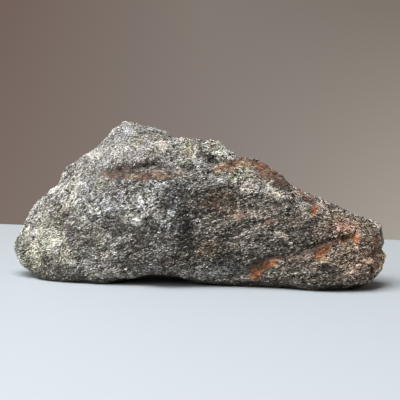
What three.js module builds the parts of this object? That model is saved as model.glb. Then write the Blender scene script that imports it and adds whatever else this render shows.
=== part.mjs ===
// A rough, hand-sized lump of nuummite, the bladed orthoamphibole rock.
//
// Millimetres, +Z up. X runs along the lump, from its thin left tip to its blunt right end,
// and the broad weathered face looks towards -Y. The origin is under the middle of its
// bounding box, on the surface that it rests on.
//
// The lump is one solid. A box with evenly divided faces is bent into a smooth pebble whose
// cross-sections follow a few profiles along the length. Flat fracture faces are planed off
// that pebble, then ledges, grooves and swellings are raised or cut along its normals.

import * as THREE from 'three';
import { mergeVertices } from 'three/addons/utils/BufferGeometryUtils.js';
import { ImprovedNoise } from 'three/addons/math/ImprovedNoise.js';

// Driving dimensions

const LENGTH = 139;
const CAP_DEPTH = 3.5; // how far from each end the cross-section starts to close
const UPPER_FULLNESS = 0.93; // 1 is an ellipse; less is boxier, more is more pointed
const LOWER_BACK_FULLNESS = 0.52;
const UNDERSIDE_MIDDLE = -1; // where across the lump its lowest line runs
const SEGMENTS_ALONG = 46;
const SEGMENTS_ACROSS = 18; // on each of the four long sides
const EDGE_SOFTNESS = 1.2; // how gently a fracture face runs into the pebble
const OUTLINE_STEPS = 600; // steps the outline is measured in
const FRONT_EDGE = [-0.05, 0.4]; // the front relief fades in as the surface turns this far forward

// Profiles: [place along the length, value there]

const CREST_HEIGHT = [
  [-70, 10.5], [-66, 23], [-60, 31], [-55, 35.8], [-52, 41.4], [-47, 44], [-40, 49.2],
  [-34, 57.2], [-29, 62], [-22, 63], [-15, 57.8], [-10, 52.4], [-4, 54], [3, 58.2],
  [7, 55], [13, 48], [19, 49.4], [26, 43.2], [30, 40.6], [32, 39.2], [34, 36.6], [36, 35.2],
  [40, 33.2], [44, 31.3], [57, 27], [62, 25.6], [66, 23.8], [70, 23.4],
];
const CREST_SETBACK = [[-70, 0], [-45, 3], [-28, 4], [0, 5], [30, 2], [60, 1], [70, 0]];
const UNDERSIDE_HEIGHT = [
  [-70, 8.6], [-66, 5.4], [-62, 1.8], [-57, -0.5], [-45, -1.2], [-34, -0.9], [-28, 0.6],
  [-22, 2], [-15, 2.85], [-9, 2], [-4, 0.2], [2, -0.7], [30, -0.6], [54, -0.9], [60, 1.4],
  [65, 5], [70, 8.4],
];
const FRONT_REACH = [
  [-70, 7], [-66, 12], [-60, 17], [-50, 22], [-38, 23.5], [-25, 25], [-12, 26], [0, 23.5],
  [12, 21], [25, 21.5], [42, 23], [52, 22.5], [60, 20], [67, 15], [70, 11],
];
const LOWER_FRONT_FULLNESS = [
  [-70, 0.6], [-57, 0.47], [-44, 0.47], [-34, 0.53], [-26, 0.66], [-12, 0.84], [-4, 0.62],
  [2, 0.47], [9, 0.47], [18, 0.64], [30, 0.58], [45, 0.62], [58, 0.62], [70, 0.8],
];
const FRONT_HEIGHT = [[-70, 9.5], [-60, 9], [-40, 10], [-15, 12], [10, 12], [40, 11], [70, 13]];
const BACK_REACH = [
  [-70, 6], [-64, 12], [-50, 20], [-35, 26], [-15, 30], [10, 30], [35, 27], [55, 21],
  [66, 14], [70, 9],
];
const BACK_HEIGHT = [[-70, 9.5], [-50, 14], [-20, 20], [15, 18], [50, 13], [70, 13]];

// Fracture faces: a point on the face, the way it looks, and how hard it is planed

const FRACTURES = [
  {
    name: 'foot, left of the front',
    at: [-53, -16, 13], facing: [-0.62, -0.74, 0.26], bite: 0.8,
  },
  {
    name: 'slope above the left tip',
    at: [-51, -8, 38], facing: [-0.64, -0.34, 0.69], bite: 0.75,
  },
  { name: 'brow under the peak', at: [-26, -17, 45], facing: [-0.12, -0.72, 0.68], bite: 0.6 },
  { name: 'shoulder shelf', at: [18, -5, 43.5], facing: [0.2, -0.42, 0.89], bite: 0.8 },
  { name: 'right of the front', at: [34, -23.5, 20], facing: [0.12, -0.97, 0.2], bite: 0.7 },
  { name: 'long slope to the right', at: [50, -9, 27], facing: [0.38, -0.5, 0.78], bite: 0.6 },
  { name: 'right end', at: [67.5, -7, 14], facing: [0.9, -0.42, 0.08], bite: 0.8 },
  { name: 'back of the peak', at: [-24, 17, 43], facing: [-0.16, 0.72, 0.68], bite: 0.85 },
  { name: 'back, left', at: [-42, 19, 18], facing: [-0.5, 0.86, 0.12], bite: 0.85 },
  { name: 'back, middle', at: [2, 26, 20], facing: [0.06, 0.96, 0.28], bite: 0.85 },
  { name: 'back of the shoulder', at: [28, 16, 35], facing: [0.3, 0.55, 0.78], bite: 0.8 },
  { name: 'back, right', at: [50, 18, 13], facing: [0.52, 0.85, 0.06], bite: 0.85 },
];

// Relief of the front: a route as [x, z] points, half the width, and the height raised
// (or, below zero, cut)

const FRONT_STROKES = [
  {
    name: 'brow over the peak undercut',
    route: [[-37, 48], [-25, 49], [-14, 49.5]], width: 3.6, rise: 1,
  },
  { name: 'peak undercut', route: [[-39, 42.5], [-26, 43.5], [-12, 45]], width: 2.2, rise: -2.6 },
  { name: 'lip below the peak undercut', route: [[-37, 38], [-14, 39.5]], width: 2.2, rise: 0.9 },
  {
    name: 'seam between the lumps',
    route: [[-4, 51], [-2, 48], [1, 44.5]], width: 1.4, rise: -1.5,
  },
  { name: 'rib beside the seam', route: [[-8, 51], [-5, 47], [-4, 42]], width: 2.4, rise: 0.9 },
  {
    name: 'base of the right lump',
    route: [[2, 45.5], [8, 46], [14, 46]], width: 1.6, rise: -1.2,
  },
  { name: 'buttress', route: [[-12, 40], [-11, 30], [-16, 21]], width: 3.4, rise: 0.9 },
  { name: 'valley, upper', route: [[-18, 36], [-8, 33]], width: 2.4, rise: -1.1 },
  { name: 'valley, lower', route: [[-9, 29], [-4, 22], [-1, 13]], width: 4, rise: -1.1 },
  { name: 'shelf edge', route: [[0, 41], [16, 39.5], [33, 36]], width: 2.4, rise: 1.2 },
  { name: 'upper cleft right', route: [[8, 34], [22, 33], [34, 31]], width: 2.2, rise: -1 },
  { name: 'diagonal ridge', route: [[-27, 30], [-22, 21], [-17, 12]], width: 2.4, rise: 1.1 },
  { name: 'diagonal furrow', route: [[-33, 27], [-28, 18], [-24, 8]], width: 2.6, rise: -1.1 },
  { name: 'edge of the foot', route: [[-50, 25], [-47, 15], [-44, 5]], width: 2, rise: -1.4 },
  {
    name: 'right overhang brow',
    route: [[18, 16], [32, 20], [46, 22.5], [58, 26]], width: 3.6, rise: 1.3,
  },
  {
    name: 'right undercut',
    route: [[13, 5], [23, 8.5], [31, 13], [44, 15], [58, 21]], width: 2, rise: -2.4,
  },
];

// Swellings and hollows of the front: centre as [x, z], half-sizes, tilt in degrees, height

const FRONT_LOBES = [
  { name: 'bulge under the undercut', at: [-26, 32], half: [13, 6], tilt: 4, rise: 1.8 },
  { name: 'left hollow', at: [-32, 22], half: [8, 5], tilt: 10, rise: -1.8 },
  { name: 'foot', at: [-58, 12], half: [8, 9], tilt: 0, rise: 1 },
  { name: 'brown hollow', at: [6, 32], half: [7, 4], tilt: 8, rise: -1.8 },
  { name: 'low swelling left of the recess', at: [-37, 9], half: [8, 6], tilt: 0, rise: 0.8 },
  { name: 'low swelling over the recess', at: [-13, 11], half: [8, 5], tilt: -8, rise: 1.2 },
  { name: 'middle swelling', at: [14, 21], half: [12, 6], tilt: 12, rise: 1.1 },
  { name: 'lower right block', at: [44, 7], half: [17, 5], tilt: 6, rise: 1.8 },
];

// Weathering all over: [size of the lumps, height]

const WEATHERING = [[19, 2.2], [8, 1.0]];

// How far the relief's routes stray from smooth lines, and the size of their bends
const STRAY = 2.2;
const STRAY_SIZE = 9;

const noise = new ImprovedNoise();

// Profiles and small helpers

function profile(points) {
  const slopes = points.map((point, i) => {
    const before = points[Math.max(i - 1, 0)];
    const after = points[Math.min(i + 1, points.length - 1)];
    return (after[1] - before[1]) / (after[0] - before[0]);
  });
  return (x) => {
    let i = 0;
    while (i < points.length - 2 && x > points[i + 1][0]) i += 1;
    const [x0, v0] = points[i];
    const [x1, v1] = points[i + 1];
    const span = x1 - x0;
    const t = THREE.MathUtils.clamp((x - x0) / span, 0, 1);
    const hermite = t * t * (3 - 2 * t);
    const leave = t * (1 - t) * (1 - t);
    const arrive = t * t * (t - 1);
    return v0 + (v1 - v0) * hermite + span * (slopes[i] * leave + slopes[i + 1] * arrive);
  };
}

const crestHeight = profile(CREST_HEIGHT);
const crestSetback = profile(CREST_SETBACK);
const undersideHeight = profile(UNDERSIDE_HEIGHT);
const frontReach = profile(FRONT_REACH);
const frontHeight = profile(FRONT_HEIGHT);
const lowerFrontFullness = profile(LOWER_FRONT_FULLNESS);
const backReach = profile(BACK_REACH);
const backHeight = profile(BACK_HEIGHT);

// How far the cross-section is open: 1 along the body, closing to 0 at the two tips
function openness(x) {
  const intoCap = Math.max(Math.abs(x) - (LENGTH / 2 - CAP_DEPTH), 0) / CAP_DEPTH;
  return Math.sqrt(Math.max(1 - intoCap * intoCap, 0));
}

// How boxy the cross-section is at a place along the length
function fullnessAt(x, across, up) {
  if (up > 0) return UPPER_FULLNESS;
  return across > 0 ? LOWER_BACK_FULLNESS : lowerFrontFullness(x);
}

// A point of the smooth pebble: place along the length, and turn round it (0 is the back,
// a quarter turn is the top)
function pebblePoint(x, turn) {
  const across = Math.cos(turn);
  const up = Math.sin(turn);
  const fullness = fullnessAt(x, across, up);
  const sideReach = across > 0 ? backReach(x) : -frontReach(x);
  const sideHeight = across > 0 ? backHeight(x) : frontHeight(x);
  const endHeight = up > 0 ? crestHeight(x) : undersideHeight(x);
  const endSetback = up > 0 ? crestSetback(x) : UNDERSIDE_MIDDLE;
  const y = endSetback + (sideReach - endSetback) * Math.abs(across) ** fullness;
  const z = sideHeight + (endHeight - sideHeight) * Math.abs(up) ** fullness;
  const middleHeight = (frontHeight(x) + backHeight(x)) / 2;
  return new THREE.Vector3(x, y * openness(x), middleHeight + (z - middleHeight) * openness(x));
}

// Places along the length at even steps of the outline from tip to tip, over the closing ends
function evenStations(count) {
  const radius = (x) => (openness(x) * (crestHeight(x) + frontReach(x) + backReach(x))) / 3;
  const xs = [];
  const run = [0];
  for (let k = 0; k <= OUTLINE_STEPS; k += 1) {
    xs.push((-LENGTH / 2) * Math.cos((Math.PI * k) / OUTLINE_STEPS));
    if (k > 0) {
      run.push(run[k - 1] + Math.hypot(xs[k] - xs[k - 1], radius(xs[k]) - radius(xs[k - 1])));
    }
  }
  const stations = [];
  let k = 0;
  for (let i = 0; i <= count; i += 1) {
    const wanted = (run[OUTLINE_STEPS] * i) / count;
    while (k < OUTLINE_STEPS - 1 && run[k + 1] < wanted) k += 1;
    const t = (wanted - run[k]) / (run[k + 1] - run[k]);
    stations.push(xs[k] + (xs[k + 1] - xs[k]) * Math.min(t, 1));
  }
  return stations;
}

// The turn round the section that a point on the edge of a square stands for
function turnOfSquare(y, z) {
  if (y === 0 && z === 0) return 0;
  if (Math.abs(y) >= Math.abs(z)) {
    return (Math.PI / 4) * (z / y) + (y > 0 ? 0 : Math.PI);
  }
  return Math.PI / 2 - (Math.PI / 4) * (y / z) + (z > 0 ? 0 : Math.PI);
}

function bentBox() {
  const geometry = new THREE.BoxGeometry(2, 2, 2, SEGMENTS_ALONG, SEGMENTS_ACROSS, SEGMENTS_ACROSS);
  geometry.deleteAttribute('normal');
  geometry.deleteAttribute('uv');
  const closed = mergeVertices(geometry, 1e-4);
  const stations = evenStations(SEGMENTS_ALONG + SEGMENTS_ACROSS);
  const position = closed.attributes.position;
  const corner = new THREE.Vector3();
  for (let i = 0; i < position.count; i += 1) {
    corner.fromBufferAttribute(position, i);
    const rim = Math.max(Math.abs(corner.y), Math.abs(corner.z));
    const inward = ((1 - rim) * SEGMENTS_ACROSS) / 2;
    const along = (SEGMENTS_ACROSS + (corner.x + 1) * SEGMENTS_ALONG) / 2;
    const station = Math.round(along + Math.sign(corner.x) * inward);
    const point = pebblePoint(stations[station], turnOfSquare(corner.y, corner.z));
    position.setXYZ(i, point.x, point.y, point.z);
  }
  return closed;
}

// Planing

function planeFractures(geometry) {
  const position = geometry.attributes.position;
  const point = new THREE.Vector3();
  const fractures = FRACTURES.map(({ at, facing, bite }) => {
    const normal = new THREE.Vector3(...facing).normalize();
    return { normal, reach: normal.dot(new THREE.Vector3(...at)), bite };
  });
  for (let i = 0; i < position.count; i += 1) {
    point.fromBufferAttribute(position, i);
    for (const { normal, reach, bite } of fractures) {
      const proud = normal.dot(point) - reach;
      const planed = (proud + Math.hypot(proud, EDGE_SOFTNESS)) / 2;
      if (proud > -3 * EDGE_SOFTNESS) point.addScaledVector(normal, -bite * planed);
    }
    position.setXYZ(i, point.x, point.y, point.z);
  }
}

// Relief

function distanceToRoute(x, z, route) {
  let nearest = Infinity;
  for (let i = 0; i + 1 < route.length; i += 1) {
    const [x0, z0] = route[i];
    const [x1, z1] = route[i + 1];
    const dx = x1 - x0;
    const dz = z1 - z0;
    const along = ((x - x0) * dx + (z - z0) * dz) / (dx * dx + dz * dz);
    const t = THREE.MathUtils.clamp(along, 0, 1);
    nearest = Math.min(nearest, Math.hypot(x - x0 - t * dx, z - z0 - t * dz));
  }
  return nearest;
}

function frontRelief(x, z) {
  let rise = 0;
  for (const stroke of FRONT_STROKES) {
    const offset = distanceToRoute(x, z, stroke.route) / stroke.width;
    rise += stroke.rise * Math.exp(-offset * offset);
  }
  for (const lobe of FRONT_LOBES) {
    const tilt = THREE.MathUtils.degToRad(lobe.tilt);
    const dx = x - lobe.at[0];
    const dz = z - lobe.at[1];
    const u = (dx * Math.cos(tilt) + dz * Math.sin(tilt)) / lobe.half[0];
    const v = (dz * Math.cos(tilt) - dx * Math.sin(tilt)) / lobe.half[1];
    rise += lobe.rise * Math.exp(-(u * u + v * v));
  }
  return rise;
}

function weathering(point) {
  return WEATHERING.reduce((sum, [size, height], i) => {
    const shift = 17.3 * (i + 1);
    return sum + height * noise.noise(point.x / size + shift, point.y / size, point.z / size);
  }, 0);
}

// The same place, moved a little by noise, so that no ledge or groove runs straight
function strayed(point) {
  const [x, y, z] = [point.x / STRAY_SIZE, point.y / STRAY_SIZE, point.z / STRAY_SIZE];
  const sideways = STRAY * noise.noise(x + 4.1, y, z);
  const upwards = STRAY * noise.noise(x, y + 8.6, z);
  return [point.x + sideways, point.z + upwards];
}

function raiseRelief(geometry) {
  geometry.computeVertexNormals();
  const position = geometry.attributes.position;
  const normals = geometry.attributes.normal;
  const point = new THREE.Vector3();
  const normal = new THREE.Vector3();
  for (let i = 0; i < position.count; i += 1) {
    point.fromBufferAttribute(position, i);
    normal.fromBufferAttribute(normals, i);
    const facesFront = THREE.MathUtils.smoothstep(-normal.y, ...FRONT_EDGE);
    const rise = facesFront * frontRelief(...strayed(point)) + weathering(point);
    point.addScaledVector(normal, rise);
    position.setXYZ(i, point.x, point.y, point.z);
  }
  geometry.deleteAttribute('normal');
}

// The lowest parts are worn flat where the lump rests, and the origin goes under the middle
function restAndCentre(geometry) {
  const position = geometry.attributes.position;
  for (let i = 0; i < position.count; i += 1) {
    position.setZ(i, Math.max(position.getZ(i), 0));
  }
  geometry.computeBoundingBox();
  const middle = geometry.boundingBox.getCenter(new THREE.Vector3());
  geometry.translate(-middle.x, -middle.y, -geometry.boundingBox.min.z);
}

function nuummiteStone() {
  const geometry = bentBox();
  planeFractures(geometry);
  raiseRelief(geometry);
  restAndCentre(geometry);
  const material = new THREE.MeshStandardMaterial({
    color: 0x6f6c66,
    roughness: 0.62,
    metalness: 0,
  });
  const stone = new THREE.Mesh(geometry, material);
  stone.name = 'nuummite_stone';
  return stone;
}

const group = new THREE.Group();
group.add(nuummiteStone());

export default group;
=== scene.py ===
"""A rough lump of nuummite on a table: a dark, bladed rock with rusty cracks.

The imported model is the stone's true solid. This script gives that solid its surface: a fine copy
of it with ledges, cracks and pits, and a coat of amphibole blades that lie along the rock's grain.
Bare lengths are millimetres, in the tables and where the surface is worked. What Blender is given
is metres.
"""

import math
from itertools import product

import bmesh
import bpy
import numpy as np
from mathutils import Matrix, Vector


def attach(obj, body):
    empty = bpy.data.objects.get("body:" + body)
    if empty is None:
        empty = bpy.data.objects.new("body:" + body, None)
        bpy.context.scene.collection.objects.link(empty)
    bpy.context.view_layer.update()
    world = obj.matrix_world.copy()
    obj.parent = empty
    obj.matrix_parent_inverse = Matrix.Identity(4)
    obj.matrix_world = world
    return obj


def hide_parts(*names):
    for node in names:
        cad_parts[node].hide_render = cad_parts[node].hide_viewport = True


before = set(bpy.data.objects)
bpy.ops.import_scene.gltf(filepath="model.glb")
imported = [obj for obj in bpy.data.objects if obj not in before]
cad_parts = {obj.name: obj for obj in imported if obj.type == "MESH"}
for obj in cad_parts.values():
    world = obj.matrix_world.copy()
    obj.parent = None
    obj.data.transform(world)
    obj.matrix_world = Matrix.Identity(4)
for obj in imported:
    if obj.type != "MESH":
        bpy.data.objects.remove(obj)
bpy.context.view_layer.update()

MM = 0.001
NOISE_ROWS = 256  # chance rows that smooth noise and flakes pick from
NOISE_SHIFT = 97  # the most that their grids are moved by chance
STONE_NODE = "nuummite_stone"
SURFACE_STEP = 0.56 * MM  # width of a face on the fine surface

# ---- What the front of the stone shows ------------
# Places are x and z in millimetres, seen along +Y.

# Cracks and sharp ledges: route, half the width, height raised (or cut, below zero)
CRACKS = {
    "peak undercut": ([[-35, 41.6], [-28, 42.2], [-22, 43.6], [-17, 45]], 1.0, -1.1),
    "peak undercut, second line": ([[-25, 41.2], [-20, 42], [-15, 43.2]], 0.6, -0.8),
    "peak undercut, upper line": ([[-31, 46], [-24, 47], [-17, 48.2], [-12, 48]], 0.8, -0.4),
    "peak undercut, lower lip": ([[-36, 38.4], [-26, 38.2], [-14, 39.6]], 0.7, 0.4),
    "seam between the lumps": ([[-4.6, 53.4], [-3.2, 51], [-2.4, 48], [-1.2, 45.4]], 0.6, -2.0),
    "rib beside the seam": ([[-7.5, 51], [-5.2, 49.4], [-4.2, 46.8], [-3, 44.6]], 1.0, 0.7),
    "base of the right lump": ([[0.5, 45.6], [3.5, 45], [8, 45.4], [12, 44]], 0.9, -0.8),
    "hole under the seam": ([[-6.8, 42.6], [-5, 43], [-3, 43.1]], 0.8, -1.8),
    "pit by the lump": ([[2.6, 46.4], [3.8, 46.6]], 0.9, -1.2),
    "right undercut": ([[12, 7], [17, 8], [22, 10.6], [27, 12]], 0.9, -1.1),
    "right undercut, middle": ([[27, 12], [33, 13.5], [40, 15.8]], 0.9, -0.5),
    "right undercut, far end": ([[40, 15.8], [45, 17.6], [50, 19], [57, 20.6]], 0.8, -0.7),
    "right undercut, lower lip": ([[20, 5.2], [27, 7.8], [34, 11.5], [41, 13]], 0.9, 0.6),
    "hollow under the second stain": ([[44.8, 9.6], [45.4, 9]], 1.1, -1.3),
    "knob under the second stain": ([[42, 11.4], [45, 11]], 0.9, 0.7),
    "hollow in the third stain": ([[53.2, 19.2], [54.2, 19.6]], 0.8, -1.2),
    "lip over the third stain": ([[49, 21.2], [56, 22.4]], 0.7, 0.6),
    "hollow by the fourth stain": ([[42.6, 26.4], [43.6, 26.2]], 0.8, -1.2),
    "crack past the first stain": ([[25, 9.6], [29, 9.4], [33, 6.8]], 0.5, -0.8),
    "upper valley crack": ([[-18, 35.2], [-12, 35.6], [-8, 37.4], [-2, 38.6]], 0.9, -0.8),
    "middle valley crack": ([[-14, 31], [-12.5, 28], [-13, 25]], 0.9, -0.8),
    "lower valley crack": ([[-8, 26], [-5, 23.5], [-3, 18], [-1, 15]], 1.5, -0.6),
    "brown hollow rim": ([[-2, 33.6], [3, 34.8], [8, 36.4]], 0.6, -0.6),
    "pit under the strip": ([[-20.6, 36.4], [-20, 36]], 0.8, -1.2),
    "under the shelf": ([[14, 38.6], [22, 38], [30, 36.2], [35, 33.6]], 0.7, -0.5),
    "left furrow": ([[-36, 27], [-30, 23], [-24, 20], [-17, 19]], 1.0, -0.6),
    "left lower furrow": ([[-37, 12], [-30, 13.4], [-24, 17]], 0.9, -0.6),
    "left ridge": ([[-33, 9], [-27, 12.5], [-21, 16.5], [-15, 19.5]], 1.1, 0.6),
    "under the bulge": ([[-33, 26.6], [-25, 27], [-17, 28]], 1.0, -0.6),
    "edge of the foot": ([[-50, 26], [-48.5, 20], [-47, 13], [-43, 6]], 0.9, -0.6),
    "upper left pits": ([[-56, 30], [-53.5, 28.6], [-51, 27]], 1.1, -0.8),
    "right face, top line": ([[20, 33], [32, 33.6], [42, 30.6]], 0.7, -0.5),
    "right face, second line": ([[8, 27], [18, 29.5], [30, 31]], 0.7, -0.5),
    "right face, third line": ([[10, 21.5], [22, 25], [36, 28.6]], 0.7, -0.5),
    "right face, fourth line": ([[13, 17], [26, 20.5], [42, 25.4]], 0.7, -0.5),
    "dark pits by the skyline": ([[38, 33], [41, 31.2]], 0.9, -1.0),
    "block, upper line": ([[34, 10], [46, 11.5], [58, 15]], 0.7, -0.5),
    "block, lower line": ([[26, 3.4], [38, 5.4], [52, 8]], 0.8, -0.6),
    "right end step": ([[63.5, 24], [65.4, 19], [65, 13], [63.6, 7]], 0.9, -1.0),
}

# Flakes: rise of their length in degrees, [length, width, depth], height of a step
LONG_FLAKES = [(15, [14, 5, 9], 0.5), (20, [7, 2.6, 4], 0.42), (9, [3.4, 1.4, 2.4], 0.36)]
SHORT_FLAKES = [(34, [11, 7, 9], 0.6), (18, [5, 3.2, 4], 0.45), (6, [2.6, 1.4, 2], 0.32)]

# Small corrections of the skyline: x, height
CREST_TOUCHES = [
    (-70, -0.8), (-66, -0.3), (-62, 0.1), (-59, -0.9), (-57, -0.1), (-55, -1), (-51, 0.2), (-48, -0.6),
    (-44.5, 0.3), (-38, 0.2), (-32, -0.2), (-29.6, 1.1), (-24, 0.1), (-20.6, 0.8), (-14, -0.5),
    (-11.6, -1.1), (-8, 0.6), (-5, 0.3), (0, 0.1), (3, 0.6), (6, 1.1), (9, -0.7), (12, -0.5),
    (18.5, 0.7), (22, -0.4), (25, -0.8), (28, -0.8), (30.5, -0.4), (32.5, -2), (35, -0.6),
    (39.5, -0.1), (42.5, 0.1), (51, 0.4), (55, -0.3), (61, -0.4), (66, 0), (69, -0.5),
]

# The same for the right end: height, how far out
END_TOUCHES = [
    (3, -0.6), (8, -0.8), (11.5, -0.5), (13.6, -1.9), (16, -0.2), (20, 0.4), (23.5, 1.6), (26, 0.6)
]

# Everywhere: how far flakes lean back in degrees, and size and height of lumps and pits
FLAKE_LEAN = 6
LUMPS, PITS, SMALL_PITS = (6, 0.35), (3.2, 1.2), (1.7, 0.5)
# Cracks of the sides that aren't seen in front: depth, and half the width as a part of their noise
FAR_CRACKS = (1.3, 0.07)

# The tables below are soft ovals. Each is its centre's x and z, half its length, half its width
# and its tilt in degrees, and then what it does.

# Stains: how strong
STAINS = {
    "rust": [
        (-24.6, 39.3, 1.6, 0.8, 0, 0.25), (6.6, 43.3, 3, 1, 8, 0.35), (21, 44, 2.4, 1.3, -30, 0.35),
        (20.8, 5.6, 2.2, 1.7, -50, 1.2), (23.4, 7.6, 2.2, 0.8, 40, 1.2), (26.4, 9.4, 2.1, 0.9, 24, 1),
        (31, 8.8, 2.6, 0.5, -24, 0.45), (45, 15, 2.2, 1.4, 24, 1.2), (42.4, 13.6, 1.6, 1, 10, 0.9),
        (56.6, 19.2, 2, 1.4, -30, 0.8), (50.8, 18.4, 2.8, 1.2, 20, 0.6), (41.7, 29, 1.3, 1.2, 10, 1.2),
        (25, 24, 1.2, 0.9, 0, 0.4), (65.4, 17, 0.9, 4, 0, 0.5),
    ],
    "maroon": [
        (-33, 39.9, 5, 1.2, 2, 0.9), (-21, 39.8, 3.6, 1.4, 8, 0.9), (-15, 41.6, 4, 1, 8, 0.5),
        (-28, 42.4, 6, 1.3, 4, 0.5), (10, 44.2, 4.5, 0.8, 12, 0.9), (17, 45.6, 6, 1.2, -14, 0.7),
        (22, 43.4, 3, 1.6, -30, 0.6), (22.6, 41.4, 3, 1.8, -10, 0.7), (28.8, 39, 3.6, 2.2, -24, 0.9),
        (37.5, 33.8, 4.5, 1.8, -38, 0.45), (42, 30.5, 4, 1.6, -30, 0.3), (-1.2, 46, 0.8, 2.2, 14, 0.4),
        (21, 8.8, 3.4, 1.1, 20, 1.4), (28.6, 12, 4, 1, 6, 1.1), (36, 11.6, 4, 1.2, 14, 0.5),
        (45, 16.6, 2.6, 1, 10, 1.2), (43, 14.4, 3, 2, 20, 0.7), (51, 19, 4, 1.3, 14, 0.9),
        (24.4, 24.4, 3, 1.5, 10, 0.6), (15, 26.4, 5, 2, 10, 0.5), (52, 24, 5, 2.4, -14, 0.4),
        (65, 14, 1.8, 7, 0, 0.9), (4, 30, 7, 3.2, 0, 0.4),
    ],
    "ochre": [
        (-26.5, 39.6, 3.4, 1.3, 4, 0.8), (-15.6, 40.2, 4.4, 1.3, 4, 0.7), (9, 43.6, 5, 1.6, 4, 1),
        (17, 44.6, 5, 1.6, -10, 0.8), (25, 42, 3, 1.2, -30, 0.5), (26.6, 41.6, 3.4, 1.2, -20, 0.7),
        (-8, 42, 3, 1.2, 0, 0.4), (19.4, 3.4, 3, 1.2, 0, 0.8), (44.6, 12, 2.4, 1.2, 0, 0.9),
        (54, 18.8, 5, 2.2, 14, 0.6), (40, 27.6, 1.8, 1.4, 0, 0.5), (-56, 2.4, 8, 1.6, -14, 0.35),
        (3, 14, 5, 3, 20, 0.4),
    ],
}
# The same stains lie by chance on the sides that aren't seen in front: how wide they are there
CHANCE_STAINS = {"rust": 9, "maroon": 13, "ochre": 11}

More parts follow.
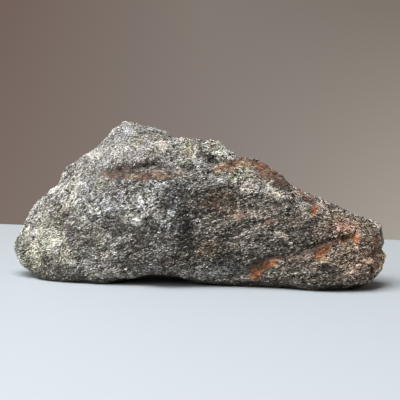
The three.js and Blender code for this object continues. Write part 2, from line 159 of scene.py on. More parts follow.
# Lighter and darker parts of the rock, partly its own tone and partly painted light and shade: how
# much lighter, or darker below zero
TONES_AND_PAINTED_LIGHT = {
    "peak": [
        (-27, 54, 5, 3.6, 0, 0.3), (-39, 46, 4, 3, 20, 0.5), (-16.6, 50.4, 5, 3.6, 0, 0.5),
        (-19, 56.5, 7, 1.6, -10, -0.3), (-14, 48.3, 4.5, 3.4, -20, 0.35),
        (-30, 45.8, 6.5, 2.6, 5, 0.4), (-10.5, 44, 4.5, 3, 0, 0.7), (-40, 42, 12, 3, 4, -0.4),
        (-24, 43, 9, 1.6, 8, -0.8), (-26, 40.4, 9, 1.4, 4, -0.4), (-12, 43.5, 2, 1.5, 0, -0.9),
        (-29.4, 40, 3.6, 1.5, 0, -2.1), (-41, 45.5, 3, 2, 0, 0.3), (-18.5, 50.5, 2.4, 1.6, 0, 0.4),
    ],
    "left slope": [
        (-49.9, 37.5, 3, 2, 0, -0.4), (-47, 31, 3, 5, 20, 0.6), (-48, 39, 2.4, 1.6, 0, -0.4),
        (-45.6, 36, 2, 4.4, 20, 0.6), (-55.5, 27.5, 3.6, 1.6, 0, -0.9), (-49.5, 26.6, 1.7, 1, 20, 1.4),
        (-57, 26, 5, 3, 30, 0.3), (-60, 31, 4, 2, 45, -0.4), (-47, 26.4, 3, 1.5, 0, -0.7),
        (-49.6, 32, 1.8, 2.6, 0, -0.5), (-48, 29, 3, 2, 0, 0.5),
    ],
    "foot": [
        (-52, 21.6, 2.6, 1.6, 0, -0.7), (-54.5, 14, 4.5, 5, 20, 0.4), (-59, 11, 3.4, 4.4, 0, 0.8),
        (-46.6, 8.3, 2.4, 2.4, 0, 0.7), (-60, 1.8, 5, 1.4, -20, -0.7), (-50, 4, 6, 1.6, -10, -0.4),
        (-47, 18.4, 2.4, 3, 0, -0.8), (-56, 9, 2.8, 2.2, 0, -1.1), (-63, 17, 5, 4, 0, 0.4),
        (-60, 3, 4, 2, 0, -0.5), (-52, 5.6, 6, 2.4, 0, -0.6),
    ],
    "bulge": [
        (-42.6, 37.9, 2.4, 2, 0, -0.6), (-35, 28, 5, 3, 0, 0.5), (-22, 35, 5, 1.6, 0, 0.4),
        (-25, 30, 13, 6, 4, 0.6), (-28, 35.6, 4, 1.8, 0, -0.8), (-23, 26.6, 7, 3.6, 6, 0.5),
        (-24, 22.4, 4, 1.6, 0, 0.5), (-17, 37, 5, 1.6, -10, 0.9), (-37, 31, 6, 5, 0, -0.2),
        (-34, 24, 5, 2.4, 10, -0.5), (-32, 20, 6, 1.8, 6, -1.2), (-19.4, 23, 2.2, 1.8, 0, -1.5),
        (-15.6, 23.4, 3, 1.6, 0, -0.9), (-15.5, 26, 3, 2, 20, 0.4), (-19.5, 39.6, 5, 1.4, 0, -0.7),
        (-14, 34, 1.5, 3.2, -20, -0.9), (-13, 31.6, 3.6, 2, 25, -1.7), (-26, 22.5, 3, 1.2, 0, 0.4),
    ],
    "lower left": [
        (-43, 2.4, 13, 1.8, 0, -0.7), (-43.7, 14.5, 1.4, 4, 0, -0.8), (-39, 13.4, 5, 1.6, 0, -0.5),
        (-16, 17.6, 5, 2, 6, -0.6), (-24, 8.4, 6, 2, 0, -0.4), (-42, 14.4, 3, 2, 0, -0.4),
        (-32, 16, 3, 5, -40, 0.4), (-22, 18, 5, 5, 20, -0.7), (-15, 9, 5, 2, 0, -0.7),
        (-39, 3, 5, 2, 0, -0.5), (-23, 15, 4, 2.4, 0, -0.4), (-42, 18, 7, 4, 0, -0.4),
        (-22, 10, 9, 3, 0, -0.3), (-17, 5, 8, 3, 0, -0.6),
    ],
    "second lump": [
        (8, 48.8, 5, 3, -20, 1.15), (1, 45.4, 5, 2, 0, 0.3), (-3.4, 48, 1.2, 3.6, 16, 1.3),
        (-5.4, 48.6, 4.5, 3, 0, 0.8), (11, 45.4, 2.4, 1.2, 0, 0.5), (6.6, 49.2, 4.4, 2.6, -10, 0.4),
        (-0.8, 49, 0.7, 3.4, 14, -1), (2.8, 46.4, 1.5, 1, 0, -1.4), (-4.6, 43.3, 2.2, 0.9, 0, -1.8),
        (9, 43.9, 7, 1.2, 0, -0.5),
    ],
    "valley": [
        (-9, 37.4, 4, 1.4, 0, 0.8), (-1.5, 32, 2.4, 1.6, 0, -0.6), (0, 29.5, 3, 1.4, 0, -0.3),
        (0, 12, 26, 10, 0, -0.25), (-7, 34.3, 4, 2.4, 0, -0.9), (-6, 33.4, 4.5, 1.6, 20, -1.1),
        (-7, 36.5, 3, 1.6, 0, 0.3), (6, 21.5, 3, 1.4, 0, 0.3), (0.5, 33, 2.4, 1.2, 0, -0.4),
        (9, 39.8, 8, 1.8, 0, 0.8), (3, 41.4, 4, 2, 0, 0.4), (7, 34.6, 6, 2.4, 8, 0.7),
        (-5, 22, 4.5, 7, 15, -0.7), (-5.6, 18.4, 2.4, 3.2, 30, -1.3), (5.4, 30.4, 6, 2.2, 8, -0.9),
        (0, 26.6, 4, 1.2, 14, -0.6), (13, 26, 4, 1.2, 14, 0.5), (3, 15, 9, 5, 6, -0.3),
        (12, 12.2, 5, 1.6, 20, -1.3), (4, 5.4, 9, 2.6, 0, 0.75), (9, 20, 8, 3, 6, -0.3),
        (-7, 21, 4, 1.8, 10, 0.5),
    ],
    "shelf and crest": [
        (15.5, 43.5, 3, 1.4, 0, -0.5), (22, 34.5, 3, 1.8, 0, 0.6), (37.7, 33.6, 3.4, 2.4, -34, 0.9),
        (28, 35, 7, 1.8, -6, 0.85), (18, 44, 7, 2, -10, 0.15), (14, 39.8, 4.4, 2, 0, 0.6),
        (14, 38.4, 5, 2.2, 0, 0.4), (29, 34.4, 6, 2, -8, 1), (24, 41.8, 4, 1.4, -20, 0.4),
        (29.4, 38.9, 3.4, 2.2, -30, -3.2), (24, 37, 9, 1.6, -6, 0.3), (28.7, 31.3, 2.6, 2, 0, -0.7),
        (16.8, 32, 3.4, 2.2, 10, -0.6),
    ],
    "right face": [
        (38, 16, 4, 2, 10, -0.5), (22, 7, 2.8, 1.8, 20, -2.1), (26.8, 10.4, 2.8, 1.7, 20, 2.3),
        (38, 5, 3, 1.6, 0, -0.3), (28.5, 21.5, 3, 1.6, 0, 0.4), (43.4, 29.4, 1.8, 1.8, 0, 0.8),
        (25, 11.2, 4.4, 0.8, 28, -0.8), (15.5, 11, 3, 2, 0, -0.9), (14, 8.6, 3, 1.4, 10, -0.3),
        (28, 21.1, 1.2, 0.9, 0, 1.8), (26, 14, 8, 3, 14, -0.3), (34, 20, 7, 3, 10, -0.5),
        (35, 15.4, 8, 2.4, 16, -0.4), (43, 26.3, 1.3, 0.9, 0, -1.3), (39, 22.5, 3, 2, 0, -0.4),
        (34, 7, 6, 2, 5, -0.3), (40, 4.4, 6, 2, 4, -1.1),
    ],
    "right end": [
        (46.5, 9.5, 3, 2, 0, -0.5), (62, 19, 2.4, 2, 0, -0.5), (67.6, 12, 2, 5, 0, -0.5),
        (45, 14.8, 3, 1.4, 20, -0.3), (55, 9, 4, 2.4, 0, 0.3), (66, 15, 3, 3, 0, 0.3),
        (55, 21, 5, 2, 0, 0.3), (56.8, 19.5, 2.4, 1.6, 0, 2), (64.5, 15.5, 2.4, 2, 0, 0.3),
        (53, 7.5, 4, 2, 0, 0.3), (46, 18.2, 6, 1.4, 14, -0.6), (53.7, 19.4, 1.3, 0.9, 20, -1.4),
        (55, 22.4, 6, 2.4, -10, 1.2), (66.5, 22, 3, 2, 0, 0.4), (64.6, 12.6, 4.4, 3.6, 0, 1),
        (61, 19, 2, 1.5, 0, -0.6), (59.8, 18, 3, 2.6, 0, -1), (44, 10.8, 2.2, 0.9, -10, 1.3),
        (45.4, 9, 1.4, 1, 0, -1.6), (61, 12, 6, 4, 0, 0.3), (67.6, 8.3, 2.6, 4, 0, 1),
        (64.5, 14.2, 2, 3, 0, 0.5), (61, 5.6, 3, 1.5, 0, -0.4), (47, 9, 3, 1.6, 0, -0.4),
        (53, 7, 7, 3, 5, 0.3),
    ],
}
# Colours that stray from grey: what red, green and blue are multiplied by, and the oval
TINTS = [
    ((1.13, 1, 0.9), (40, 18, 38, 24, 0)), ((1.16, 0.99, 0.85), (58, 14, 20, 12, 0)),
    ((1, 1, 0.98), (-45, 30, 30, 26, 0)), ((1.06, 1.03, 0.84), (-60, 5, 9, 6, -10)),
    ((1.04, 1.02, 0.9), (-56, 15, 12, 10, 0)), ((0.9, 1, 0.95), (-68, 12, 3, 8, 0)),
    ((1.02, 1, 0.97), (-30, 9, 24, 9, 0)), ((0.92, 0.98, 1.08), (-29, 55.5, 4, 3.4, 0)),
    ((0.98, 0.99, 0.99), (-19, 32, 13, 8, 0)), ((0.93, 0.98, 1.06), (-11, 33, 8, 5, 0)),
    ((0.92, 0.98, 1.07), (-8, 24, 6, 8, 20)), ((0.98, 1.05, 0.74), (14, 40.6, 5.5, 1.8, 0)),
    ((1.08, 1.04, 0.86), (-5.5, 47.5, 2, 4.5, 0)), ((1, 1.02, 0.97), (6, 50, 6, 3, 0)),
    ((1.08, 0.99, 0.94), (-20, 49, 9, 5, 0)), ((1.2, 0.98, 0.82), (7, 30.5, 9, 4.5, 0)),
    ((1.22, 0.96, 0.88), (52, 23.6, 6, 3, -14)), ((1, 1.05, 0.75), (70, 10, 2.5, 8, 0)),
    ((1.09, 0.99, 0.91), (60, 13, 9, 9, 0)), ((1.15, 0.98, 0.8), (2, 14, 8, 5, 20)),
    ((0.93, 1.02, 1.1), (10, 8, 12, 5, 0)),
]
# Ovals where the grain is even, where it is tangled and where it is full of painted shadow lines and
# glints
CALM_GRAIN = (-29, 50, 24, 10, 25)
TANGLED_GRAIN = (-12, 29, 15, 11, 0)
CRACKED_GRAIN = (-14, 32, 17, 10, 0)

# ---- Finishes, light and camera -------------------

# From the darkest to the lightest mineral: share of the grains, grey
STREAKY_MINERALS = [(0, 0.004), (0.44, 0.022), (0.59, 0.17), (0.74, 0.42), (1, 0.68)]
SPECKLED_MINERALS = [(0, 0.006), (0.39, 0.035), (0.51, 0.25), (0.64, 0.54), (0.81, 0.7), (1, 0.75)]
MINERAL_HUES = [(1.35, 1.05, 0.78), (1.0, 1.0, 0.98)]  # dark grains and light grains
MINERAL_IOR = 1.65
GLINT_HUE = (1.0, 0.96, 0.86)
ROCK_ROUGHNESS = (0.45, 0.2)  # how far it varies, and the least
BLADE_ROUGHNESS = (0.43, 0.19)
BLADE_GLOSS = 0.55
STAIN_SHADES = {  # dark and light
    "ochre": [(0.2, 0.125, 0.07), (0.7, 0.52, 0.35)],
    "maroon": [(0.1, 0.05, 0.038), (0.36, 0.21, 0.16)],
    "rust": [(0.19, 0.042, 0.015), (0.88, 0.36, 0.125)],
}

# Fine grain of the rock: rise in degrees, length, width, and how far right it starts, where 0.5 is
# about the left end and 1.5 the right side
GRAINS = [
    (12, 0.36 * MM, 0.2 * MM, 0.0),
    (26, 0.6 * MM, 0.2 * MM, 0.75),
    (9, 0.8 * MM, 0.19 * MM, 1.15),
]
GRAIN_RELIEF = 0.2 * MM
GRAIN_BENDS = (350, 0.5 * MM)  # bends in a metre, and how far they go
BORDER_BENDS = 220  # the same for the ragged border between two grains
# Painted shadow lines and painted glint lines over the grain: rise in degrees, length, width, how far
# along their noise, tone (below zero a painted shadow line, above zero a painted glint)
SHADE_AND_GLINT_LINES = [
    (30, 6 * MM, 1.55 * MM, 7, -2.4),
    (57, 4.6 * MM, 1.6 * MM, 14, -1.8),
    (20, 5 * MM, 1.2 * MM, 21, 1.3),
]
HAIRLINE_WIDTH = 0.038  # how far from its middle value the noise still makes a line
HAIRLINE_BENDS = (150, 3 * MM)

# One blade: a lath with a ridge along its top and its foot in the rock. It is one unit long.
BLADE_CORNERS = [
    (-0.5, -0.5, -0.5), (0.5, -0.5, -0.5), (0.5, 0.5, -0.5), (-0.5, 0.5, -0.5),
    (-0.34, 0, 0.5), (0.34, 0, 0.5),
]
BLADE_FACES = [(0, 1, 5, 4), (2, 3, 4, 5), (1, 2, 5), (3, 0, 4)]
BLADE_SIZES = [(0.5 * MM, 0.1 * MM, 0.12 * MM), (1.45 * MM, 0.25 * MM, 0.32 * MM)]
BLADE_TILT = (0.6, 0.3, 0.0)  # radians, about its length and across it
BLADE_DENSITY = 6.5e6  # a square metre
COAT_PIECES = 5

# Metres and degrees
CAMERA_TARGET = (-0.00065, 0, 0.03)
CAMERA_DISTANCE = 0.6
CAMERA_LIFT = 5.2
CAMERA_ROLL = 1.8
VIEW_ANGLE = 14.35
LIGHTS = {  # place, size, watts, colour
    "key": ((-0.62, -0.64, 0.68), 1.0, 13, (1.0, 0.985, 0.95)),
    "overhead": ((-0.25, -0.25, 0.94), 0.9, 20, (0.98, 0.995, 1.0)),
}
LIGHT_TARGET = (0, 0, 0.03)
WALL_COLOURS = [  # left, middle and right, at the table's edge and then high up
    [(0.205, 0.16, 0.14), (0.25, 0.214, 0.19), (0.385, 0.35, 0.308)],
    [(0.171, 0.122, 0.107), (0.22, 0.19, 0.166), (0.202, 0.18, 0.153)],
]
WALL_ACROSS = (-0.125, 0.125)  # x of the direction looked in, at the wall's left and right colours
WALL_UP = (-0.11, 0.034)  # z of it, at the table's edge and high up
ROOM_COLOUR = (0.19, 0.166, 0.14)
TABLE_REACH = 1.6  # to the left, to the right and to the front
TABLE_FAR_EDGE = (0.29, 0.03)  # behind the stone, at the table's left end and at its right end
TABLE_COLOUR = (0.33, 0.36, 0.39)
TABLE_ROUGHNESS = 0.55

# ---- Small helpers --------------------------------


def new_object(name, data):
    thing = bpy.data.objects.new(name, data)
    bpy.context.scene.collection.objects.link(thing)
    return thing


def unit(vectors):
    return vectors / np.linalg.norm(vectors, axis=1)[:, None]


def smooth_step(values, low, high):
    t = np.clip((values - low) / (high - low), 0, 1)
    return t * t * (3 - 2 * t)


def shuffled(order, cell):
    """A chance row for each cell of a grid, the same every time."""
    number = 0
    for axis in range(3):
        number = order[(number + cell[:, axis]) % NOISE_ROWS]
    return number


def smooth_noise(points, size, seed):
    """Rounded lumps about size wide, from about -1 to 1, one value for each point."""
    rng = np.random.default_rng(seed)
    order = rng.permutation(NOISE_ROWS)
    slopes = unit(rng.normal(size=(NOISE_ROWS, 3)))
    place = points / size + rng.uniform(0, NOISE_SHIFT, 3)
    cell = np.floor(place).astype(int)
    inside = place - cell
    blend = inside**3 * (inside * (inside * 6 - 15) + 10)
    total = np.zeros(len(points))
    for corner in product((0, 1), repeat=3):
        slope = slopes[shuffled(order, cell + corner)]
        weight = np.prod(np.where(corner, blend, 1 - blend), axis=1)
        total += weight * ((inside - corner) * slope).sum(axis=1)
    reach = 1.6  # brings it to about -1 to 1
    return total * reach


def layered_noise(points, size, seed, layers=3):
    """Smooth noise with finer, weaker layers on top."""
    return sum(smooth_noise(points, size / 2**k, seed + k) / 2**k for k in range(layers))


def noise_vectors(points, size, seed, count=2):
    """Smooth noise in two or three directions."""
    return np.stack([smooth_noise(points, size, seed + k) for k in range(count)], 1)


def grain_frame(rise_deg, lean_deg):
    """Axes for noise drawn out along the grain: along it, across it and into the rock."""
    rise = math.radians(rise_deg)
    lean = math.radians(lean_deg)
    along = np.array([math.cos(rise) * math.cos(lean), math.sin(lean), math.sin(rise)])
    along /= np.linalg.norm(along)
    across = np.cross([0, 1, 0], along)
    across /= np.linalg.norm(across)
    return np.stack([along, across, np.cross(along, across)])


def streaks(points, axes, length, width, seed):
    """Noise drawn out along the first of the axes."""
    turned = points @ axes.T
    return smooth_noise(turned / [length / width, 1, 1], width, seed)


def distance_to_route(places, route):
    """Distance of each [x, z] place to a line of straight stretches."""
    nearest = np.full(len(places), np.inf)
    for start, end in zip(route, route[1:]):
        start, step = np.array(start, float), np.subtract(end, start).astype(float)
        share = np.clip((places - start) @ step / (step @ step), 0, 1)
        gap = places - start - share[:, None] * step
        nearest = np.minimum(nearest, np.hypot(gap[:, 0], gap[:, 1]))
    return nearest


def patch(places, x, z, half_length, half_width, tilt_deg):
    """A soft oval, 1 in the middle."""
    tilt = math.radians(tilt_deg)
    right, up = (places - [x, z]).T
    u = (right * math.cos(tilt) + up * math.sin(tilt)) / half_length
    v = (up * math.cos(tilt) - right * math.sin(tilt)) / half_width
    return np.exp(-(u * u + v * v))


def patches(places, rows):
    """Soft ovals added up, each as strong as the last number of its row."""
    return sum(strength * patch(places, *oval) for *oval, strength in rows)


# ---- The stone's fine surface ---------------------


def closed_copy(node_name):
    """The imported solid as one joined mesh, made fine and even."""
    made = bmesh.new()
    made.from_mesh(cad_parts[node_name].data)
    bmesh.ops.remove_doubles(made, verts=made.verts, dist=1e-6)
    bmesh.ops.join_triangles(
        made, faces=made.faces, angle_face_threshold=math.pi, angle_shape_threshold=math.pi
    )
    mesh = bpy.data.meshes.new("stone_surface")
    made.to_mesh(mesh)
    made.free()
    piece = new_object("stone_surface", mesh)
    rounding = piece.modifiers.new("rounding", "SUBSURF")
    rounding.levels = rounding.render_levels = 2
    evening = piece.modifiers.new("evening", "REMESH")
    evening.mode = "VOXEL"
    evening.voxel_size = SURFACE_STEP
    evening.use_smooth_shade = True
    evened = bpy.context.evaluated_depsgraph_get()
    piece.data = bpy.data.meshes.new_from_object(piece.evaluated_get(evened))
    piece.modifiers.clear()
    bpy.data.meshes.remove(mesh)
    return piece


def read_vectors(layer, field):
    flat = np.empty(len(layer) * 3, np.float32)
    layer.foreach_get(field, flat)
    return flat.reshape(-1, 3).astype(float)


def averaged(mesh, values, rounds):
    """Values spread to each vertex's neighbours a few times."""
    ends = np.empty(len(mesh.edges) * 2, np.int32)
    mesh.edges.foreach_get("vertices", ends)
    a, b = ends.reshape(-1, 2).T
    count = np.bincount(a, minlength=len(values)) + np.bincount(b, minlength=len(values))
    for _ in range(rounds):
        total = values.copy()
        for column in range(values.shape[1]):
            total[:, column] += np.bincount(a, values[b, column], len(values))
            total[:, column] += np.bincount(b, values[a, column], len(values))
        values = total / (count + 1)[:, None]
    return values


def smoothed_directions(mesh, rounds):
    """Which way each vertex faces, evened out with its neighbours."""
    return unit(averaged(mesh, read_vectors(mesh.vertex_normals, "vector"), rounds))


def crack_relief(points, facing_front):
    """Cracks and ledges of the front, bent a little by noise: the height, and the painted shade in
    them.
    """
    stray = 0.9 * noise_vectors(points, 5, seed=11)
    fine_stray = 0.35 * noise_vectors(points, 1.8, seed=13)
    places = points[:, [0, 2]] + stray + fine_stray
    here = facing_front * (0.3 + 0.7 * smooth_step(smooth_noise(points, 5, seed=18), -0.7, 0.4))
    rise = np.zeros(len(points))
    crevice_shade = np.zeros(len(points))
    for route, width, height in CRACKS.values():
        share = np.exp(-((distance_to_route(places, route) / width) ** 2)) * here
        rise += height * share
        # painted shade: the deeper a crack is cut, the darker the rock is painted there
        crevice_shade = np.maximum(crevice_shade, share * min(1, -height))
    return rise, crevice_shade


def shingles(points, axes, size, seed):
    """Flakes that overlap like roof tiles: each leans a little and ends in a small step."""
    rng = np.random.default_rng(seed)
    order = rng.permutation(NOISE_ROWS)
    middle = rng.uniform(0.1, 0.9, (NOISE_ROWS, 3))
    height = rng.uniform(-0.5, 0.5, NOISE_ROWS)
    lean = rng.uniform(0.2, 1.0, NOISE_ROWS)
    place = points @ axes.T / size + rng.uniform(0, NOISE_SHIFT, 3)
    cell = np.floor(place).astype(int)
    nearest = np.full(len(points), np.inf)
    raised = np.zeros(len(points))
    for corner in product((-1, 0, 1), repeat=3):
        at = cell + corner
        flake = shuffled(order, at)
        gap = place - at - middle[flake]
        distance = (gap**2).sum(axis=1)
        closer = distance < nearest
        nearest[closer] = distance[closer]
        raised[closer] = (height[flake] - lean[flake] * gap[:, 1])[closer]
    return raised


def flaky_relief(points, side, skyline):
    """Ledges of broken rock, in long flakes to the right and in lumps to the left."""
    bent = points + 1.1 * noise_vectors(points, 7, seed=15, count=3)
    relief = np.zeros(len(points))
    for share, flakes in ((side, LONG_FLAKES), (1 - side, SHORT_FLAKES)):
        for number, (rise, size, step) in enumerate(flakes):
            axes = grain_frame(rise, FLAKE_LEAN)
            relief += share * step * shingles(bent, axes, size, 21 + number)
    return relief * (1 - (0.65 - 0.3 * side) * skyline)


def far_side_cracks(points):
    """Thin cracks along the grain, wherever a drawn out noise changes sign."""
    depth, width = FAR_CRACKS
    run = streaks(points, grain_frame(24, 8), length=26, width=8, seed=35)
    broken = smooth_step(smooth_noise(points, 17, seed=36), 0.0, 0.3)
    return -depth * broken * np.exp(-((run / width) ** 2))


def outline_touches(points, lie, skyline):
    """The small corrections of the crest, and those of the right end."""
    on_crest = smooth_step(lie[:, 2], 0.1, 0.5) * skyline
    places, heights = zip(*CREST_TOUCHES)
    crest = on_crest * np.interp(points[:, 0], places, heights)
    at_end = smooth_step(lie[:, 0], 0.3, 0.8) * (points[:, 0] > 50)
    heights, reaches = zip(*END_TOUCHES)
    return crest, at_end * np.interp(points[:, 2], heights, reaches)


def break_surface(mesh):
    """Moves the fine surface out and in, and returns what its grain is painted and laid by, with the
    painted shade of its cracks and pits.
    """
    points = read_vectors(mesh.vertices, "co") / MM
    lie = smoothed_directions(mesh, rounds=6)
    facing_front = smooth_step(-lie[:, 1], -0.05, 0.35)
    skyline = np.exp(-((lie[:, 1] / 0.35) ** 2))
    side = smooth_step(points[:, 0] + 5 * smooth_noise(points, 9, seed=62), -48, 8)
    pits = np.clip(smooth_noise(points, PITS[0], seed=31) - 0.35, 0, None)
    small_pits = smooth_step(smooth_noise(points, SMALL_PITS[0], seed=33), 0.45, 0.85)
    far_cracks = (1 - facing_front) * far_side_cracks(points)
    rise, crevice_shade = crack_relief(points, facing_front)
    rise += far_cracks
    rise += flaky_relief(points, side, skyline)
    rise += LUMPS[1] * layered_noise(points, LUMPS[0], seed=32)
    rise -= (PITS[1] * pits + SMALL_PITS[1] * small_pits) * (1 - skyline)
    for touch in outline_touches(points, lie, skyline):
        rise += touch
    # painted shade in the far cracks and the small pits as well
    crevice_shade = np.maximum(np.maximum(crevice_shade, -0.7 * far_cracks), 0.9 * small_pits)
    off_table = smooth_step(points[:, 2], 0.05, 1.6)
    moved = points + lie * (rise * off_table)[:, None]
    moved[:, 2] = np.maximum(moved[:, 2], 0)
    mesh.vertices.foreach_set("co", (moved * MM).astype(np.float32).ravel())
    mesh.update()
    lie = smoothed_directions(mesh, rounds=2)
    in_front = smooth_step(-lie[:, 1], -0.45, 0.0)
    return moved, lie, in_front, side, crevice_shade


def store(mesh, name, values, kind="FLOAT"):
    layer = mesh.attributes.new(name, kind, "POINT")
    field = {"FLOAT_VECTOR": "vector", "FLOAT_COLOR": "color"}.get(kind, "value")
    layer.data.foreach_set(field, np.ascontiguousarray(values, np.float32).ravel())


def paint_stains(mesh, points, places, in_front):
    """Stores how deep each iron stain is: by its table in front, and by chance elsewhere."""
    store(mesh, "patchy", 0.5 + 0.6 * layered_noise(points, 2.4, seed=59, layers=2))
    ragged = 0.6 * smooth_noise(points, 2.6, seed=53) + 0.7 * smooth_noise(points, 1.3, seed=54)
    for kind, size in CHANCE_STAINS.items():
        spread = smooth_noise(points * [1, 1, 2.5], size, seed=55 + size)
        amount = patches(places, STAINS[kind]) * in_front
        amount += (1 - in_front) * smooth_step(spread, 0.45, 1.0)
        amount += ragged * np.minimum(amount, 0.6)
        store(mesh, kind, smooth_step(amount, 0.05, 0.75))


def paint_tone(mesh, points, places, in_front, side, crevice_shade):
    """Stores how light the rock is, from its own tone and from painted light and shade, and how strong
    its painted shadow lines and glints are.
    """
    calm = patch(places, *CALM_GRAIN) * in_front
    bands = streaks(points, grain_frame(13, 5), length=9, width=2.2, seed=63)
    bands += layered_noise(points, 5, seed=64)
    strands = side * streaks(points, grain_frame(20, 5), length=7, width=1.25, seed=65)
    strands += (1 - side) * streaks(points, grain_frame(25, 5), length=5, width=1.25, seed=66)
    glints = smooth_step(smooth_noise(points, 1.6, seed=69), 0.45, 0.85)
    # painted shade: the rock darker towards the table, where its foot curves under
    shade_by_the_table = 1 - smooth_step(points[:, 2], 0.5, 4.5)
    # the tone table adds painted light and shade as well as the rock's own tone
    tone_and_shading = sum(patches(places, rows) for rows in TONES_AND_PAINTED_LIGHT.values()) * in_front
    tone_and_shading += 0.25 * layered_noise(points, 16, seed=57)
    tone_and_shading += 0.1 * layered_noise(points, 2.6, seed=67, layers=2)
    tone_and_shading += (0.4 - 0.07 * side - 0.15 * calm) * bands
    tone_and_shading += (0.28 + 0.34 * side - 0.15 * calm) * strands
    tone_and_shading += 0.1 * calm - 0.06 * side - 0.02
    # painted shade: darker in cracks and pits, and near the table
    tone_and_shading += 0.5 * glints - 0.9 * crevice_shade - 0.6 * shade_by_the_table
    store(mesh, "tone_and_shading", tone_and_shading)
    store(mesh, "shade_and_glint_lines", 1 - 0.75 * calm + 0.45 * patch(places, *CRACKED_GRAIN))


def paint_tint(mesh, points, places, in_front, side):
    """Stores how the rock's colour strays from grey."""
    tint = np.ones((len(points), 4))
    tint[:, 0] += (0.06 + 0.04 * side) * (layered_noise(points, 7, seed=71) + 0.1)
    tint[:, 2] -= 0.14 * layered_noise(points, 6, seed=75)
    for colour, oval in TINTS:
        share = patch(places, *oval) * in_front
        tint[:, :3] *= 1 + share[:, None] * (np.array(colour) - 1)
    store(mesh, "tint", tint, "FLOAT_COLOR")


def lay_grain(mesh, points, lie, side):
    """Stores which way the blades point, how far they stray from it and how stout they are."""
    rise = np.radians(17 - 7 * side + 16 * smooth_noise(points, 12, seed=61))
    run = np.stack([np.cos(rise), 0.15 * np.sin(3 * rise), np.sin(rise)], 1)
    run -= lie * (run * lie).sum(1)[:, None]
    run /= np.linalg.norm(run, axis=1)[:, None] + 1e-9
    store(mesh, "lie", lie, "FLOAT_VECTOR")
    store(mesh, "run", run, "FLOAT_VECTOR")
    store(mesh, "side", side)
    places = points[:, [0, 2]]
    tangle, calm = patch(places, *TANGLED_GRAIN), patch(places, *CALM_GRAIN)
    store(mesh, "stray", 0.35 + 0.2 * (1 - side) + 0.7 * tangle)
    long = 0.7 + 0.3 * side + 0.3 * tangle - 0.15 * calm
    stout = 0.95 + 0.12 * side + 0.2 * tangle - 0.2 * calm
    store(mesh, "stoutness", np.stack([long, stout, stout], 1), "FLOAT_VECTOR")
    underside = (lie[:, 2] < -0.5) & (points[:, 2] < 2.5)
    store(mesh, "coat", np.where(underside | (points[:, 2] < 0.35), 0.0, 1.0))


def work_surface(mesh):
    """Breaks, paints and grains the fine surface, and returns where its vertices are."""
    points, lie, in_front, side, crevice_shade = break_surface(mesh)
    places = points[:, [0, 2]] + 0.8 * noise_vectors(points, 4, seed=51)
    paint_stains(mesh, points, places, in_front)
    paint_tone(mesh, points, places, in_front, side, crevice_shade)
    paint_tint(mesh, points, places, in_front, side)
    lay_grain(mesh, points, lie, side)
    return points


# ---- Node trees -----------------------------------


class Tree:
    """Short ways to add and join nodes in a node tree. A colour is given as red, green, blue."""

    def __init__(self, tree):
        self.tree = tree

    def add(self, kind, inputs=None, **settings):
        node = self.tree.nodes.new(kind)
        for name, value in settings.items():
            setattr(node, name, value)
        for name, value in (inputs or {}).items():
            self.feed(node.inputs[name], value)
        return node

    def feed(self, socket, value):
        if isinstance(value, bpy.types.NodeSocket):
            self.tree.links.new(value, socket)
        elif isinstance(value, bpy.types.Node):
            self.tree.links.new(value.outputs[0], socket)
        elif socket.type == "RGBA":
            socket.default_value = (*value, 1)
        else:
            socket.default_value = value

    def maths(self, operation, *values):
        inputs = dict(enumerate(values))
        return self.add("ShaderNodeMath", inputs, operation=operation).outputs[0]

    def vectors(self, operation, first, second=None):
        """The second is a number for SCALE, a vector for the rest, and none for NORMALIZE."""
        inputs = {0: first}
        if second is not None:
            inputs["Scale" if operation == "SCALE" else 1] = second
        return self.add("ShaderNodeVectorMath", inputs, operation=operation).outputs[0]

    def combined(self, *values):
        return self.add("ShaderNodeCombineXYZ", dict(enumerate(values))).outputs[0]

    def separated(self, vector):
        return self.add("ShaderNodeSeparateXYZ", {0: vector}).outputs

    def blend(self, share, first, second):
        """A colour between two others. A Mix node keeps its colours in sockets 6 and 7."""
        inputs = {0: share, 6: first, 7: second}
        return self.add("ShaderNodeMix", inputs, data_type="RGBA").outputs[2]

    def turned(self, place, angle):
        """A place turned about the line from front to back."""
        inputs = {"Vector": place, "Angle": angle}
        return self.add("ShaderNodeVectorRotate", inputs, rotation_type="Y_AXIS").outputs[0]

    def noise(self, place, scale, detail=1):
        inputs = {"Vector": place, "Scale": scale, "Detail": detail}
        return self.add("ShaderNodeTexNoise", inputs).outputs

    def between(self, value, start, end, low=0, high=1):
        """Low up to start, high from end on, and even steps between."""
        inputs = {"Value": value, "From Min": start, "From Max": end, "To Min": low, "To Max": high}
        return self.add("ShaderNodeMapRange", inputs).outputs[0]

    def ramp(self, share, colours):
        """Colours given as (share, colour), from 0 to 1."""
        node = self.add("ShaderNodeValToRGB", {"Fac": share})
        stops = node.color_ramp.elements
        for place, _ in colours[1:-1]:
            stops.new(place)
        for stop, (_, colour) in zip(stops, colours):
            stop.color = (*colour, 1)
        return node.outputs[0]

    def attribute(self, name, output="Fac"):
        return self.add("ShaderNodeAttribute", attribute_name=name).outputs[output]

    def group(self, tree, inputs):
        return self.add("ShaderNodeGroup", inputs, node_tree=tree).outputs


def new_group(name, kind, inputs, outputs):
    """A node group with named inputs and outputs, given as name: kind of socket."""
    tree = bpy.data.node_groups.new(name, kind)
    for way, sockets in (("INPUT", inputs), ("OUTPUT", outputs)):
        for socket, held in sockets.items():
            tree.interface.new_socket(socket, in_out=way, socket_type=f"NodeSocket{held}")
    t = Tree(tree)
    return tree, t, t.add("NodeGroupInput").outputs, t.add("NodeGroupOutput").inputs


# ---- The coat of blades ---------------------------


def blade_template():
    """One amphibole blade."""
    mesh = bpy.data.meshes.new("blade")
    mesh.from_pydata(BLADE_CORNERS, [], BLADE_FACES)
    return new_object("blade", mesh)


